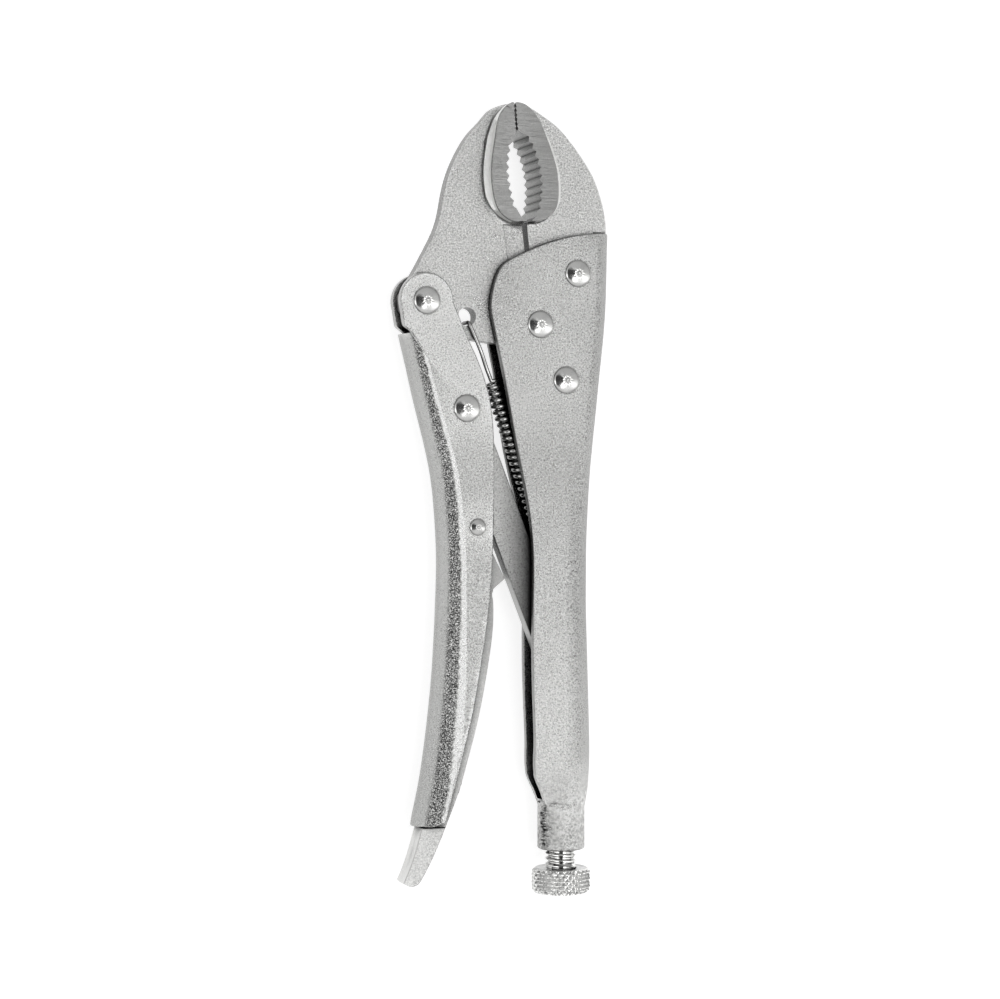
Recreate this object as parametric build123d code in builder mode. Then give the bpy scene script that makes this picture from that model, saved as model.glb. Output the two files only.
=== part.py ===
from build123d import *
import math
import os

# Curved-jaw locking pliers, 10 inch class, lying flat.
# X runs across the handles, Y runs up towards the jaws, Z is the thickness.
# Everything is drawn about the middle plane of the pliers, then lifted to MID.

MID = 9.4                 # height of the middle plane: the knurled head rests on the table

# Sheet and plate thicknesses
SHEET = 2.5               # pressed handles
TRIGGER_SHEET = 1.5       # release lever
JAW_T = 5.3               # jaw plates
SIDE_GAP = 0.15           # jaw plate to handle flange, each side
LINK_T = 4.7              # toggle link
GRIP_T = 14.0             # gripping heads
CHANNEL = JAW_T / 2 + SIDE_GAP          # inner half width of both handles at the jaws
OUTER = CHANNEL + SHEET                 # outer half width of both handles at the jaws
RUN = 0.05                # radial running fit of pins in holes
HEAD_GAP = 0.02           # under a rivet head
THROUGH = 12.0            # half depth of a cut or outline that goes right through

# Pivots and fixings
P = (11.7, 55.1)          # moving jaw on fixed handle
R1 = (24.4, 71.5)         # fixed jaw, upper rivet
R3 = (20.4, 37.7)         # fixed jaw, lower rivet
A = (-25.9, 61.6)         # lever handle on moving jaw
B = (-12.8, 28.4)         # toggle link on lever handle
S = (-9.3, -8.6)          # release lever on lever handle
C = (20.6, -56.5)         # nose of the toggle link, over the screw tip
HOLE = (-11.9, 57.1)      # spring hole in the moving jaw
HOLE_R = 2.95
TAB = (17.6, -21.5)       # spring tab inside the fixed handle

RIVET_SHANK = 3.0
RIVET_HEAD = 4.3
RIVET_RISE = 1.4
RIVET_RIM = 0.35          # straight side of a rivet head
SMALL_SHANK = 1.6
SMALL_HEAD = 2.65
SMALL_RISE = 1.1

# Adjusting screw
SCREW_X = C[0]
SCREW_R = 5.0
KNOB_R = MID
KNOB_TOP = -116.7
KNOB_END = -124.8
NOSE_R = 4.6
NOSE_GAP = 2.1
SCREW_TIP = C[1] - NOSE_R - NOSE_GAP
TUBE_R = 7.5
TUBE_TOP = -96.0
TUBE_END = -110.8

# Teeth
TOOTH_PITCH = 2.6
TOOTH_DEPTH = 0.95
TIP_PITCH = 1.3
TIP_DEPTH = 0.35
PART_GAP = 0.16           # each jaw stands back this much from the parting line

# Return spring
WIRE = 1.25
COIL_R = 2.0              # to the middle of the wire
TURNS = 24
COIL_PITCH = 2.1
COIL_TOP = (-3.2, 37.2)   # middle of the first coil
HOOK_Z = JAW_T / 2 + 0.35 + WIRE / 2
TAB_T = 1.6
FOOT_Z = TAB_T / 2 + 0.3 + WIRE / 2

os.makedirs("parts", exist_ok=True)
FLAT = Plane.XY.offset(MID)


def station(y):
    """Section plane at one height along the handles; its x is X and its y is -Z."""
    return Plane(origin=(0, y, MID), x_dir=(1, 0, 0), z_dir=(0, 1, 0))


def rounded_section(web, half, open_x, open_half):
    """Corner points of a D section: a round web, then flanks running to the open side."""
    side = 1 if web > open_x else -1
    cx = web - side * half
    reach = math.hypot(open_x - cx, open_half)
    toward = math.atan2(open_half, open_x - cx)
    turn = toward - side * math.acos(half / reach)
    tx = cx + half * math.cos(turn)
    tz = half * math.sin(turn)
    return [(tx, tz), (web, 0), (tx, -tz)], [(tx, -tz), (open_x, -open_half), (open_x, open_half), (tx, tz)]


def oval_section(web, half, depth, open_x):
    """Centre line of a deeper web: an oval of the given depth, then straight flanks."""
    return web + depth, [(web + depth, -half), (open_x, -half), (open_x, half), (web + depth, half)]


def blend_table(table, y, column=1):
    """Smooth reading, without overshoot, between the rows of a short table led by its height."""
    ys = [row[0] for row in table]
    vs = [row[column] for row in table]
    slopes = [(vs[i + 1] - vs[i]) / (ys[i + 1] - ys[i]) for i in range(len(ys) - 1)]
    ease = [slopes[0]]
    for m0, m1 in zip(slopes, slopes[1:]):
        ease.append(2 * m0 * m1 / (m0 + m1) if m0 * m1 > 0 else 0.0)
    ease.append(slopes[-1])
    for i in range(len(slopes)):
        if ys[i] >= y >= ys[i + 1]:
            h = ys[i + 1] - ys[i]
            t = (y - ys[i]) / h
            return (vs[i] * (1 + 2 * t) * (1 - t) ** 2 + ease[i] * h * t * (1 - t) ** 2
                    + vs[i + 1] * t * t * (3 - 2 * t) + ease[i + 1] * h * t * t * (t - 1))
    return vs[0] if y > ys[0] else vs[-1]


def heights(first, last, count):
    return [first + (last - first) * i / (count - 1) for i in range(count)]


def toothed(points, pitch, depth, inward):
    """Zigzag along a smooth curve: crests on the curve, roots set back by the depth."""
    curve = Edge.make_spline([Vector(*p) for p in points])
    count = max(2, round(curve.length / pitch))
    out = []
    for i in range(2 * count + 1):
        u = i * curve.length / (2 * count)
        p = curve.position_at(u, position_mode=PositionMode.LENGTH)
        if i % 2:
            t = curve.tangent_at(u, position_mode=PositionMode.LENGTH)
            n = Vector(-t.Y, t.X) * inward
            p = p + n * depth
        out.append((p.X, p.Y))
    return out


# Fixed handle sections: height, outer web, half width, open edge, half width there
fixed_rows = [
    (92, 36.3, OUTER, -9.0, OUTER),
    (62, 35.5, OUTER, -9.0, OUTER),
    (32, 32.6, OUTER, -6.0, OUTER),
    (4, 29.8, OUTER, 0.0, OUTER),
    (-18, 28.8, OUTER + 0.15, 5.0, OUTER),
    (-34, 28.7, 6.2, 8.0, OUTER),
    (-48, 29.0, 7.15, 8.6, 5.3),
    (-66, 29.5, 7.4, 8.9, 5.1),
    (-82, 29.8, 7.45, 9.3, 4.8),
    (-90, 29.3, 7.5, 10.2, 4.4),
    (-97, 28.15, TUBE_R, 12.6, 2.4)]

with BuildPart() as fixed_shell:
    for y in heights(92, -97, 19):
        with BuildSketch(station(y)):
            web, half, open_x, open_half = (blend_table(fixed_rows, y, k) for k in (1, 2, 3, 4))
            web_arc, flanks = rounded_section(web, half, open_x, open_half)
            with BuildLine():
                ThreePointArc(*web_arc)
                Polyline(*flanks)
            make_face()
    loft()

with BuildPart() as fixed_core:
    for y in heights(92, -97, 19)[:-1]:
        with BuildSketch(station(y)):
            web, half, open_x, open_half = (blend_table(fixed_rows, y, k) for k in (1, 2, 3, 4))
            web_arc, flanks = rounded_section(web - SHEET, half - SHEET, open_x - 4, open_half - SHEET)
            with BuildLine():
                ThreePointArc(*web_arc)
                Polyline(*flanks)
            make_face()
    loft()

# the flanges close on each other above the tube
seam_rows = [(-86.2, 2.1), (-88.4, 1.9), (-90.6, 1.35), (-92.8, 0.65), (-94.9, 0.12)]
with BuildPart() as fixed_seam:
    for y, gap in seam_rows:
        with BuildSketch(station(y)):
            web, half, open_x = (blend_table(fixed_rows, y, k) for k in (1, 2, 3))
            web_arc, flanks = rounded_section(web - SHEET, half - SHEET, open_x - 4, gap)
            with BuildLine():
                ThreePointArc(*web_arc)
                Polyline(*flanks)
            make_face()
    loft(ruled=True)

with BuildPart() as fixed_handle:
    with BuildSketch(FLAT):
        with BuildLine():
            top = Spline((40, 84.6), (33, 84.6), (21.9, 83.1), (10.8, 79.6), (0.9, 74.8))
            nose = Spline(top @ 1, (-3.4, 68.4), (-4.8, 60.0), (-3.4, 52.5), tangents=[top % 1, (0.2, -1)])
            edge = Spline(nose @ 1, (0.1, 36.3), (2.7, 22.5), (5.2, 10.7), (7.7, -1.6), (9.1, -12.9),
                          (9.3, -30.6), (9.1, -44.9), (9.6, -66.6), (9.9, -79.0), (10.4, -87.6),
                          (12.6, -92.6), (14.6, -98.0), tangents=[(0.2, -1), (0.5, -1)])
            Polyline(edge @ 1, (40, -98), top @ 0)
        make_face()
    extrude(amount=THROUGH, both=True)
    add(fixed_shell.part, mode=Mode.INTERSECT)
    add(fixed_core.part, mode=Mode.SUBTRACT)
    add(fixed_seam.part, mode=Mode.SUBTRACT)
    with BuildSketch(station(TUBE_END)):
        with Locations((SCREW_X, 0)):
            Circle(TUBE_R)
    extrude(amount=TUBE_TOP - TUBE_END)
    fillet(fixed_handle.faces().sort_by(Axis.Y)[0].edges(), 0.8)
    with BuildSketch(FLAT):
        with BuildLine():
            Polyline((TAB[0] - 2.6, TAB[1] - 2.4), (TAB[0] - 2.6, TAB[1] + 2.4), (27.2, TAB[1] + 4.0),
                     (27.2, TAB[1] - 4.0), close=True)
        make_face()
    extrude(amount=TAB_T / 2, both=True)
    with BuildSketch(station(TUBE_END - 1)):
        with Locations((SCREW_X, 0)):
            Circle(SCREW_R + RUN)
    extrude(amount=24, mode=Mode.SUBTRACT)
    with BuildSketch(station(TUBE_TOP + 4)):
        with Locations((SCREW_X, 0)):
            Circle(SCREW_R + 0.4)
    extrude(amount=SCREW_TIP - TUBE_TOP, mode=Mode.SUBTRACT)
    with BuildSketch(FLAT):
        with Locations(R1, R3, P):
            Circle(RIVET_SHANK + RUN / 2)
    extrude(amount=THROUGH, both=True, mode=Mode.SUBTRACT)
    with BuildSketch(FLAT):
        with Locations(TAB):
            Circle(WIRE / 2 + 0.35)
    extrude(amount=TAB_T, both=True, mode=Mode.SUBTRACT)
fixed_handle.part.label = "fixed_handle"

# Mouth of the jaws, seen from the front
tip_line = [(2.4, 125.0), (2.7, 120.0), (3.1, 115.4)]
mouth_right = [(5.6, 114.2), (7.6, 111.2), (9.4, 107.0), (10.5, 102.2), (10.8, 98.0), (10.5, 93.8),
               (9.9, 90.4)]
mouth_left = [(2.2, 114.0), (1.2, 110.4), (0.6, 106.2), (0.5, 102.4), (1.0, 98.6), (1.7, 95.0), (3.0, 91.0)]


def shifted(points, dx):
    return [(x + dx, y) for x, y in points]


tip_right = toothed(shifted(tip_line, PART_GAP), TIP_PITCH, TIP_DEPTH, 1)
tip_left = toothed(shifted(tip_line, -PART_GAP), TIP_PITCH, TIP_DEPTH, -1)
teeth_right = toothed(mouth_right, TOOTH_PITCH, TOOTH_DEPTH, 1)
teeth_left = toothed(mouth_left, TOOTH_PITCH, TOOTH_DEPTH, -1)
HUB = 9.0
HUB_GAP = 0.6

# Ground gripping heads: outline at the flat face, swelling towards the plate
cove = [(GRIP_T / 2, 0.0), (4.6, 0.12), (3.6, 0.3), (3.05, 0.55), (2.82, 0.9), (2.4, 3.9)]
head_levels = [(-z, swell) for z, swell in cove] + [(z, swell) for z, swell in reversed(cove)]
rim_right = [(3.0, 124.2), (6.1, 123.6), (8.7, 121.5), (13.6, 112.6), (16.7, 103.2), (17.2, 97.0),
             (15.9, 90.8), (12.8, 88.2), (8.0, 87.4)]
rim_left = [(3.0, 124.4), (0.6, 123.7), (-1.6, 121.5), (-3.9, 113.0), (-5.1, 104.0), (-4.6, 96.0),
            (-2.8, 90.6), (0.2, 87.8), (4.8, 87.2)]


def grown(points, by):
    """Pushes an outline outwards from the middle of the mouth, sideways and down only."""
    out = []
    for x, y in points:
        far = math.hypot(x - 5.5, y - 104.0)
        out.append((x + by * (x - 5.5) / far, y + min(0, by * (y - 104.0) / far)))
    return out


with BuildPart() as fixed_jaw:
    with BuildSketch(FLAT):
        with BuildLine():
            back = Spline((4.0, 124.6), (8.8, 123.9), (13.3, 121.5), (18.1, 118.4), (22.8, 113.8),
                          (26.9, 108.7), (30.7, 102.9), (33.1, 97.2), (34.6, 91.9), (35.3, 87.0))
            Polyline(back @ 1, (35.0, 84.9), (30.6, 84.9), (30.6, 72), (29.6, 56), (27.8, 38), (26.6, 30.5),
                     (14.0, 30.5), (12.2, 43.0), (P[0] + 3.0, P[1] - HUB - HUB_GAP),
                     (-20, 44), (-20, 124.6), back @ 0)
        make_face()
    extrude(amount=JAW_T / 2, both=True)
    fillet(fixed_jaw.edges().filter_by(lambda e: e.center().Y > 88 and e.center().X > 4
                                       and abs(e.center().Z - MID) > 1), 0.9)
    for z, swell in head_levels:
        with BuildSketch(Plane.XY.offset(MID + z)):
            with BuildLine():
                rim = Spline(*grown(rim_right, swell))
                Polyline(rim @ 1, (-6, 87.4 - swell), (-6, 124.2), rim @ 0)
            make_face()
    loft(ruled=True)
    with BuildSketch(FLAT):
        with BuildLine():
            Polyline(*tip_right, *teeth_right, (9.5, 88.7), (8.0, 87.3), (8.9, 78.7), (10.6, 70.5),
                     (P[0] + 0.5, P[1] + HUB + HUB_GAP), (P[0] + 0.5, 20), (60, 20), (60, 130),
                     (2.4 + PART_GAP, 130), close=True)
        make_face()
    extrude(amount=THROUGH, both=True, mode=Mode.INTERSECT)
    with BuildSketch(FLAT):
        with Locations(P):
            Circle(HUB + HUB_GAP)
        with Locations(R1, R3):
            Circle(RIVET_SHANK + RUN / 2)
    extrude(amount=THROUGH, both=True, mode=Mode.SUBTRACT)
fixed_jaw.part.label = "fixed_jaw"

LUG = 7.6

with BuildPart() as moving_jaw:
    with BuildSketch(FLAT):
        with BuildLine():
            back = Spline((5.0, 124.8), (0.1, 124.0), (-3.6, 122.3), (-6.6, 119.0), (-10.6, 114.7),
                          (-13.7, 110.1), (-16.2, 105.2), (-18.2, 99.9), (-19.5, 94.5), (-20.4, 89.6),
                          (-21.9, 84.4), (-24.5, 79.0), (-27.4, 73.6), (A[0] - LUG, A[1] + 1.5))
            Polyline(back @ 1, (A[0] - LUG + 0.5, A[1] - 3.0), (A[0] - 4.0, A[1] - LUG + 1.0),
                     (-20.0, 51.6), (-11.6, 50.1), (-2.3, 48.9), (P[0] - 2.5, P[1] - HUB + 0.35), (24, 60),
                     (24, 124.8), back @ 0)
        make_face()
    extrude(amount=JAW_T / 2, both=True)
    fillet(moving_jaw.edges().filter_by(lambda e: e.center().X < 3 and abs(e.center().Z - MID) > 1
                                        and e.length > 60), 0.9)
    for z, swell in head_levels:
        with BuildSketch(Plane.XY.offset(MID + z)):
            with BuildLine():
                rim = Spline(*grown(rim_left, swell))
                Polyline(rim @ 1, (12, 87.2 - swell), (12, 124.4), rim @ 0)
            make_face()
    loft(ruled=True)
    with BuildSketch(FLAT):
        with BuildLine():
            Polyline(*tip_left, *teeth_left, (4.6, 88.4), (6.4, 87.3), (7.4, 78.7), (9.2, 70.5),
                     (P[0] - 0.3, P[1] + HUB), (P[0] - 0.3, 20), (-60, 20), (-60, 130),
                     (2.4 - PART_GAP, 130), close=True)
        make_face()
        with Locations(P):
            Circle(HUB)
    extrude(amount=THROUGH, both=True, mode=Mode.INTERSECT)
    with BuildSketch(FLAT):
        with Locations(P, A):
            Circle(RIVET_SHANK + RUN)
        with Locations(HOLE):
            Circle(HOLE_R)
    extrude(amount=THROUGH, both=True, mode=Mode.SUBTRACT)
    for side in (1, -1):
        with BuildSketch(Plane.XY.offset(MID + side * (JAW_T / 2 - 0.6))):
            with BuildLine():
                Polyline((0.1, 86.4), (0.8, 82.0), (1.2, 79), (1.9, 72), (4.0, 70.0), (14, 70.0), (14, 86.4),
                         close=True)
            make_face()
        extrude(amount=side * 1.2, mode=Mode.SUBTRACT)
moving_jaw.part.label = "moving_jaw"

# Lever handle
lever_web = [(56, -34.6), (30, -28.5), (6, -22.9), (-18, -21.1), (-45, -22.0), (-73, -24.6), (-104, -29.9)]
lever_half = [(56, OUTER), (20, OUTER), (-20, 5.5), (-60, 6.0), (-104, 6.7)]
lever_round = [(56, 5.6), (34, 6.8), (5, 8.0), (-20, 8.4), (-60, 10.0), (-124, 12.0)]
EAR = 8.7
LEVER_END = -101.4

with BuildPart() as lever_shell:
    for y in heights(56, -104, 14):
        with BuildSketch(station(y)):
            half = blend_table(lever_half, y)
            depth = blend_table(lever_round, y)
            middle, flanks = oval_section(blend_table(lever_web, y), half, depth, 4)
            with BuildLine():
                EllipticalCenterArc((middle, 0), depth, half, start_angle=90, arc_size=180)
                Polyline(*flanks)
            make_face()
    loft()

with BuildPart() as lever_core:
    for y in heights(56, -104, 14):
        with BuildSketch(station(y)):
            half = blend_table(lever_half, y) - SHEET
            depth = blend_table(lever_round, y) - SHEET
            middle, flanks = oval_section(blend_table(lever_web, y) + SHEET, half, depth, 6)
            with BuildLine():
                EllipticalCenterArc((middle, 0), depth, half, start_angle=90, arc_size=180)
                Polyline(*flanks)
            make_face()
    loft()

with BuildPart() as lever_handle:
    with BuildSketch(FLAT):
        with BuildLine():
            edge = Spline((-9.9, 45.2), (-6.7, 37.1), (-5.4, 32.5), (-4.3, 26.0), (-3.8, 18.0), (-3.7, 8.0),
                          (-3.9, -5.0), (-4.2, -16.2), (-4.9, -27.2), (-6.2, -39.0), (-8.2, -51.7),
                          (-11.2, -67.5), (-14.4, -80.0), (-17.2, -90.0), (-20.2, -100.2))
            Polyline(edge @ 1, (-24.0, LEVER_END), (-36, LEVER_END), (-44, 50.0), (-30.0, 51.6), (-22, 51.6),
                     edge @ 0)
        make_face()
    extrude(amount=THROUGH, both=True)
    add(lever_shell.part, mode=Mode.INTERSECT)
    add(lever_core.part, mode=Mode.SUBTRACT)
    for side in (1, -1):
        with BuildSketch(Plane.XY.offset(MID + side * CHANNEL)):
            with BuildLine():
                Polyline((-24, 41), (-8.2, 41), (-9.9, 45.2), (-12.5, 50.4), (-14.6, 55.2),
                         (A[0] + EAR - 0.7, A[1] + 1.5), (A[0], A[1] + 4), (A[0] - EAR + 0.2, A[1] - 1.5),
                         (-33.4, 54.0), (-30.6, 51.8), (-26.4, 50.6), close=True)
            make_face()
            with Locations(A):
                Circle(EAR)
        extrude(amount=side * SHEET)
    with BuildSketch(FLAT):
        with Locations(A, B):
            Circle(RIVET_SHANK + RUN / 2)
        with Locations(S):
            Circle(SMALL_SHANK + RUN / 2)
    extrude(amount=THROUGH, both=True, mode=Mode.SUBTRACT)
lever_handle.part.label = "lever_handle"

# Toggle link
LINK_W = 11.0
run_x = C[0] - B[0]
run_y = C[1] - B[1]
LINK_L = math.hypot(run_x, run_y)
along = (run_x / LINK_L, run_y / LINK_L)
across = (-along[1], along[0])


def on_link(u, v):
    return (B[0] + along[0] * u + across[0] * v, B[1] + along[1] * u + across[1] * v)


with BuildPart() as toggle_link:
    with BuildSketch(FLAT):
        with BuildLine():
            Polyline(on_link(0, LINK_W / 2), on_link(LINK_L - 12, LINK_W / 2), on_link(LINK_L, NOSE_R),
                     on_link(LINK_L, -NOSE_R), on_link(LINK_L - 12, -LINK_W / 2), on_link(0, -LINK_W / 2),
                     close=True)
        make_face()
        with Locations(B):
            Circle(LINK_W / 2)
        with Locations(C):
            Circle(NOSE_R)
    extrude(amount=LINK_T / 2, both=True)
    fillet(toggle_link.faces().filter_by(Axis.Z).edges(), 0.4)
    with BuildSketch(FLAT):
        with Locations(B):
            Circle(RIVET_SHANK + RUN)
    extrude(amount=THROUGH, both=True, mode=Mode.SUBTRACT)
toggle_link.part.label = "toggle_link"

# Release lever, nested in the lever handle
TRIGGER_GAP = 0.55
TAIL_FLAT = LEVER_END - 0.5
TAIL_CORNER = 0.4
trigger_tail = [(-84, 0.0), (-98, 0.1), (-103, -0.9), (-108, -2.1), (-112, -3.4), (-118, -6.0), (-124, -9.2)]


def trigger_web(y):
    """Follows the inside of the lever handle, then flares outwards past its end."""
    return blend_table(lever_web, max(y, -104)) + SHEET + TRIGGER_GAP + blend_table(trigger_tail, y)


def trigger_half(y):
    return min(blend_table(lever_half, y) - SHEET - 0.35, 3.85)


def trigger_round(y):
    return blend_table(lever_round, y) - SHEET - 0.2


with BuildPart() as trigger_shell:
    for y in heights(-18, -124, 12):
        with BuildSketch(station(y)):
            half = trigger_half(y)
            depth = trigger_round(y)
            middle, flanks = oval_section(trigger_web(y), half, depth, 6)
            with BuildLine():
                EllipticalCenterArc((middle, 0), depth, half, start_angle=90, arc_size=180)
                Polyline(*flanks)
            make_face()
    loft()
    # past the end of the handle the tail is pressed flat
    for y in heights(TAIL_FLAT, -124, 5):
        with BuildSketch(station(y)):
            web = trigger_web(y)
            half = trigger_half(y)
            with BuildLine():
                Polyline((web, -half), (6, -half), (6, half), (web, half), close=True)
            make_face()
            fillet(vertices().sort_by(Axis.X)[:2], TAIL_CORNER)
    loft()

with BuildPart() as trigger_core:
    for y in heights(-18, -124, 12):
        with BuildSketch(station(y)):
            half = trigger_half(y) - TRIGGER_SHEET
            depth = trigger_round(y) - TRIGGER_SHEET
            middle, flanks = oval_section(trigger_web(y) + TRIGGER_SHEET, half, depth, 8)
            with BuildLine():
                EllipticalCenterArc((middle, 0), depth, half, start_angle=90, arc_size=180)
                Polyline(*flanks)
            make_face()
    loft()

with BuildPart() as release_lever:
    with BuildSketch(FLAT):
        with BuildLine():
            edge = Spline((-3.4, -31.0), (-3.2, -38.0), (-3.8, -44.7), (-5.1, -52.8), (-8.4, -69.0),
                          (-11.8, -81.3), (-15.0, -91.5), (-18.6, -100.3), (-22.0, -108.2), (-24.4, -113.1),
                          (-26.4, -116.7))
            tail = Spline(edge @ 1, (-28.2, -119.1), (-30.2, -119.8), (-31.8, -119.4), (-33.2, -118.2),
                          (-34.2, -116.0), tangents=[edge % 1, (-0.3, 1)])
            Polyline(tail @ 1, (-44, -110), (-40, -40), (-22, -30), edge @ 0)
        make_face()
    extrude(amount=THROUGH, both=True)
    add(trigger_shell.part, mode=Mode.INTERSECT)
    add(trigger_core.part, mode=Mode.SUBTRACT)
    for side in (1, -1):
        with BuildSketch(Plane.XY.offset(MID + side * (trigger_half(-26) - TRIGGER_SHEET))):
            with BuildLine():
                Polyline((-12.4, -9.5), (-6.6, -10.4), (0.7, -24.8), (-1.9, -27.0), (-3.1, -27.9),
                         (-3.6, -29.5), (-3.4, -31.5), (-3.3, -34.0), (-14.4, -34.0), (-14.4, -20.0),
                         close=True)
            make_face()
            with Locations(S):
                Circle(3.2)
        extrude(amount=side * TRIGGER_SHEET)
    with BuildSketch(FLAT):
        with Locations(S):
            Circle(SMALL_SHANK + RUN)
    extrude(amount=THROUGH, both=True, mode=Mode.SUBTRACT)
release_lever.part.label = "release_lever"

# Adjusting screw, turned about its own axis
with BuildPart() as adjusting_screw:
    with BuildSketch(FLAT):
        with BuildLine():
            x0 = SCREW_X
            Polyline((x0, SCREW_TIP), (x0 + SCREW_R - 1.0, SCREW_TIP), (x0 + SCREW_R, SCREW_TIP - 1.0),
                     (x0 + SCREW_R, KNOB_TOP), (x0 + KNOB_R - 1.8, KNOB_TOP))
            ThreePointArc((x0 + KNOB_R - 1.8, KNOB_TOP),
                          (x0 + KNOB_R - 0.53, KNOB_TOP - 0.53), (x0 + KNOB_R, KNOB_TOP - 1.8))
            Line((x0 + KNOB_R, KNOB_TOP - 1.8), (x0 + KNOB_R, KNOB_END + 1.8))
            ThreePointArc((x0 + KNOB_R, KNOB_END + 1.8),
                          (x0 + KNOB_R - 0.53, KNOB_END + 0.53), (x0 + KNOB_R - 1.8, KNOB_END))
            Polyline((x0 + KNOB_R - 1.8, KNOB_END), (x0, KNOB_END), (x0, SCREW_TIP))
        make_face()
    revolve(axis=Axis((SCREW_X, 0, MID), (0, 1, 0)))
adjusting_screw.part.label = "adjusting_screw"


def rivet_outline(shank, head, rise, grip):
    """Half outline of a domed rivet: top dome, side, bottom dome, axis."""
    rim = grip + RIVET_RIM
    h = rise - RIVET_RIM
    ball = (head * head + h * h) / (2 * h)
    half = math.asin(head / ball) / 2
    dome = [(0, grip + rise), (ball * math.sin(half), grip + rise - ball * (1 - math.cos(half))), (head, rim)]
    side = [(head, rim), (head, grip), (shank, grip), (shank, -grip), (head, -grip), (head, -rim)]
    under = [(x, -z) for x, z in reversed(dome)]
    return dome, side, under


with BuildPart() as jaw_pivot_rivet:
    with BuildSketch(Plane(origin=(P[0], P[1], MID), x_dir=(1, 0, 0), z_dir=(0, -1, 0))):
        dome, side, under = rivet_outline(RIVET_SHANK, RIVET_HEAD, RIVET_RISE, OUTER + HEAD_GAP)
        with BuildLine():
            ThreePointArc(*dome)
            Polyline(*side)
            ThreePointArc(*under)
            Line(under[-1], dome[0])
        make_face()
    revolve(axis=Axis((P[0], P[1], MID), (0, 0, 1)))
jaw_pivot_rivet.part.label = "jaw_pivot_rivet"

with BuildPart() as upper_jaw_rivet:
    with BuildSketch(Plane(origin=(R1[0], R1[1], MID), x_dir=(1, 0, 0), z_dir=(0, -1, 0))):
        dome, side, under = rivet_outline(RIVET_SHANK, RIVET_HEAD, RIVET_RISE, OUTER + HEAD_GAP)
        with BuildLine():
            ThreePointArc(*dome)
            Polyline(*side)
            ThreePointArc(*under)
            Line(under[-1], dome[0])
        make_face()
    revolve(axis=Axis((R1[0], R1[1], MID), (0, 0, 1)))
upper_jaw_rivet.part.label = "upper_jaw_rivet"

with BuildPart() as lower_jaw_rivet:
    with BuildSketch(Plane(origin=(R3[0], R3[1], MID), x_dir=(1, 0, 0), z_dir=(0, -1, 0))):
        dome, side, under = rivet_outline(RIVET_SHANK, RIVET_HEAD, RIVET_RISE, OUTER + HEAD_GAP)
        with BuildLine():
            ThreePointArc(*dome)
            Polyline(*side)
            ThreePointArc(*under)
            Line(under[-1], dome[0])
        make_face()
    revolve(axis=Axis((R3[0], R3[1], MID), (0, 0, 1)))
lower_jaw_rivet.part.label = "lower_jaw_rivet"

with BuildPart() as lever_rivet:
    with BuildSketch(Plane(origin=(A[0], A[1], MID), x_dir=(1, 0, 0), z_dir=(0, -1, 0))):
        dome, side, under = rivet_outline(RIVET_SHANK, RIVET_HEAD, RIVET_RISE, OUTER + HEAD_GAP)
        with BuildLine():
            ThreePointArc(*dome)
            Polyline(*side)
            ThreePointArc(*under)
            Line(under[-1], dome[0])
        make_face()
    revolve(axis=Axis((A[0], A[1], MID), (0, 0, 1)))
lever_rivet.part.label = "lever_rivet"

with BuildPart() as link_rivet:
    with BuildSketch(Plane(origin=(B[0], B[1], MID), x_dir=(1, 0, 0), z_dir=(0, -1, 0))):
        dome, side, under = rivet_outline(RIVET_SHANK, RIVET_HEAD, RIVET_RISE, OUTER + HEAD_GAP)
        with BuildLine():
            ThreePointArc(*dome)
            Polyline(*side)
            ThreePointArc(*under)
            Line(under[-1], dome[0])
        make_face()
    revolve(axis=Axis((B[0], B[1], MID), (0, 0, 1)))
link_rivet.part.label = "link_rivet"

with BuildPart() as trigger_rivet:
    with BuildSketch(Plane(origin=(S[0], S[1], MID), x_dir=(1, 0, 0), z_dir=(0, -1, 0))):
        grip = blend_table(lever_half, S[1]) + HEAD_GAP
        dome, side, under = rivet_outline(SMALL_SHANK, SMALL_HEAD, SMALL_RISE, grip)
        with BuildLine():
            ThreePointArc(*dome)
            Polyline(*side)
            ThreePointArc(*under)
            Line(under[-1], dome[0])
        make_face()
    revolve(axis=Axis((S[0], S[1], MID), (0, 0, 1)))
trigger_rivet.part.label = "trigger_rivet"

# Return spring: hook through the jaw hole, close coils, hook through the tab
head = Vector(COIL_TOP[0], COIL_TOP[1], 0)
foot = Vector(TAB[0], TAB[1], 0)
axis_dir = (foot - head).normalized()
side_dir = Vector(-axis_dir.Y, axis_dir.X, 0)
up = Vector(0, 0, 1)
BEND = 1.5


def coil_point(turn):
    a = 2 * math.pi * turn
    centre = head + axis_dir * (COIL_PITCH * turn)
    return centre + up * (COIL_R * math.cos(a)) + side_dir * (COIL_R * math.sin(a))


def coil_tangent(turn):
    a = 2 * math.pi * turn
    t = axis_dir * COIL_PITCH + (up * -math.sin(a) + side_dir * math.cos(a)) * (2 * math.pi * COIL_R)
    return t.normalized()


def biarc(p0, t0, p1, t1):
    """Join of two arcs that leave p0 along t0 and reach p1 along t1, and the heading there."""
    v = p1 - p0
    t = t0 + t1
    a = 2 * (1 - t0.dot(t1))
    b = 2 * v.dot(t)
    c = -v.dot(v)
    d = (-b + math.sqrt(b * b - 4 * a * c)) / (2 * a) if abs(a) > 1e-9 else -c / b
    q0 = p0 + t0 * d
    q1 = p1 - t1 * d
    return (q0 + q1) * 0.5, (q1 - q0).normalized()


lift = Vector(0, 0, MID)
first = coil_point(0)
last = coil_point(TURNS)
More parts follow.
